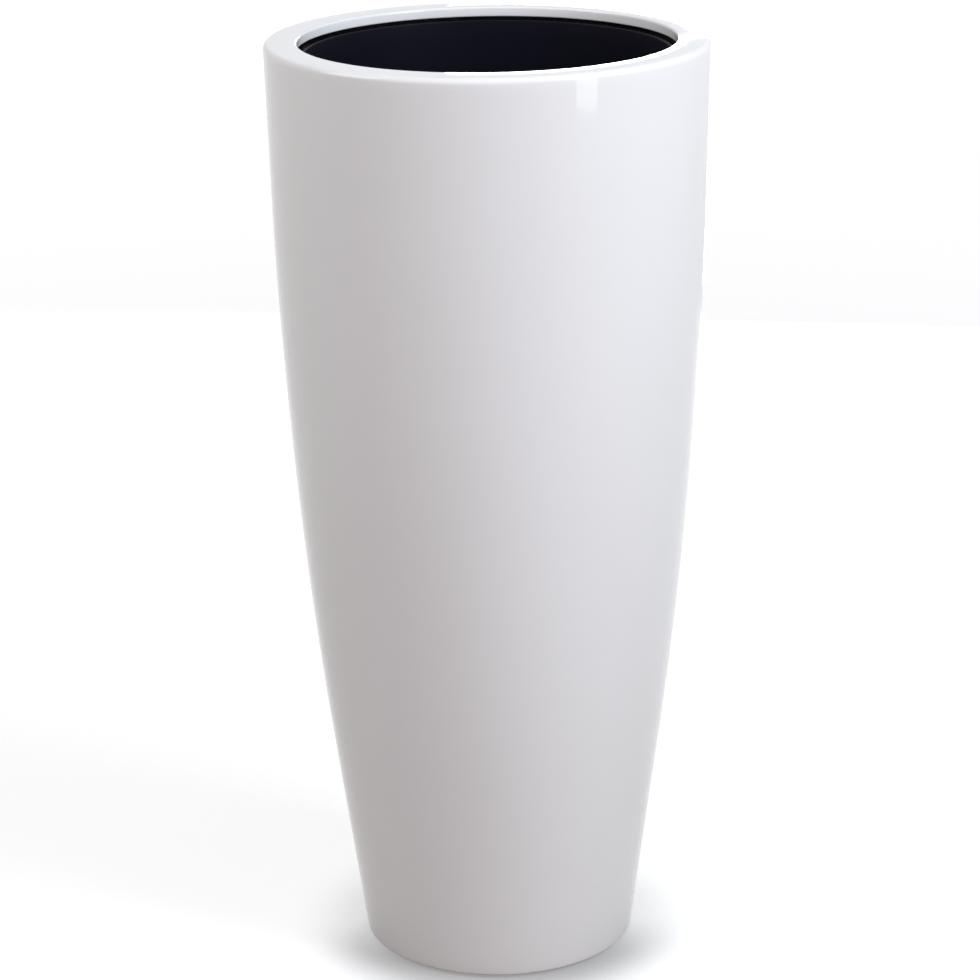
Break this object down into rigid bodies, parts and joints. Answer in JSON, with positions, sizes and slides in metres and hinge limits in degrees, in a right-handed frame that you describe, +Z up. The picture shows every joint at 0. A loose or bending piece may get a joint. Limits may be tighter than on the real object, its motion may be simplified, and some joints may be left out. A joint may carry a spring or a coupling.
{
  "type": "tall planter",
  "caption": "Tall round tapered floor planter in white gloss laminate with a flat lip, a black lift-out liner on a shelf, fold-up handles and a drain bung.",
  "frame": {"origin": "on the floor at the middle of the base", "axes": "+Z up, +X through the right handle as seen from the front, -Y towards the front; the body is round, so the handles alone set the front"},
  "size_m": [0.3698, 0.3696, 0.8],
  "materials": {
    "shell_gloss": "high-gloss white gelcoat on fiberglass laminate",
    "laminate": "unpolished fiberglass laminate",
    "bung_rubber": "matte black rubber",
    "pad_rubber": "matte black rubber",
    "shelf_black": "matte black sheet",
    "liner_black": "satin black moulding",
    "wire_black": "satin black coated steel wire",
    "plate_black": "satin black coated steel plate",
    "rivet_metal": "plain aluminium rivets"
  },
  "bodies": {
    "pot": {"outer_shell": "shell_gloss", "foot_ring": "laminate", "base_plate": "laminate", "foot_pad_1": "pad_rubber", "foot_pad_2": "pad_rubber", "foot_pad_3": "pad_rubber", "foot_pad_4": "pad_rubber", "shelf_cleat_1": "laminate", "shelf_cleat_2": "laminate", "shelf_cleat_3": "laminate", "shelf_cleat_4": "laminate"},
    "bung": {"drain_bung": "bung_rubber"},
    "shelf": {"planting_shelf": "shelf_black"},
    "liner": {"liner": "liner_black", "handle_plate_left": "plate_black", "handle_plate_right": "plate_black", "handle_rivets": "rivet_metal"},
    "handle_left": {"handle_left": "wire_black"},
    "handle_right": {"handle_right": "wire_black"}
  },
  "joints": [
    {"name": "bung_pull", "type": "slide", "parent": "pot", "child": "bung", "axis": [0, 0, 1], "range_m": [0, 0.06]},
    {"name": "shelf_lift", "type": "slide", "parent": "pot", "child": "shelf", "axis": [0, 0, 1], "range_m": [0, 0.4]},
    {"name": "liner_lift", "type": "slide", "parent": "shelf", "child": "liner", "axis": [0, 0, 1], "range_m": [0, 0.4]},
    {"name": "handle_left_fold", "type": "hinge", "parent": "liner", "child": "handle_left", "pos_m": [-0.13434, 0, 0.7618], "axis": [0, -1, 0], "range_deg": [0, 180]},
    {"name": "handle_right_fold", "type": "hinge", "parent": "liner", "child": "handle_right", "pos_m": [0.13434, 0, 0.7618], "axis": [0, 1, 0], "range_deg": [0, 180]}
  ]
}
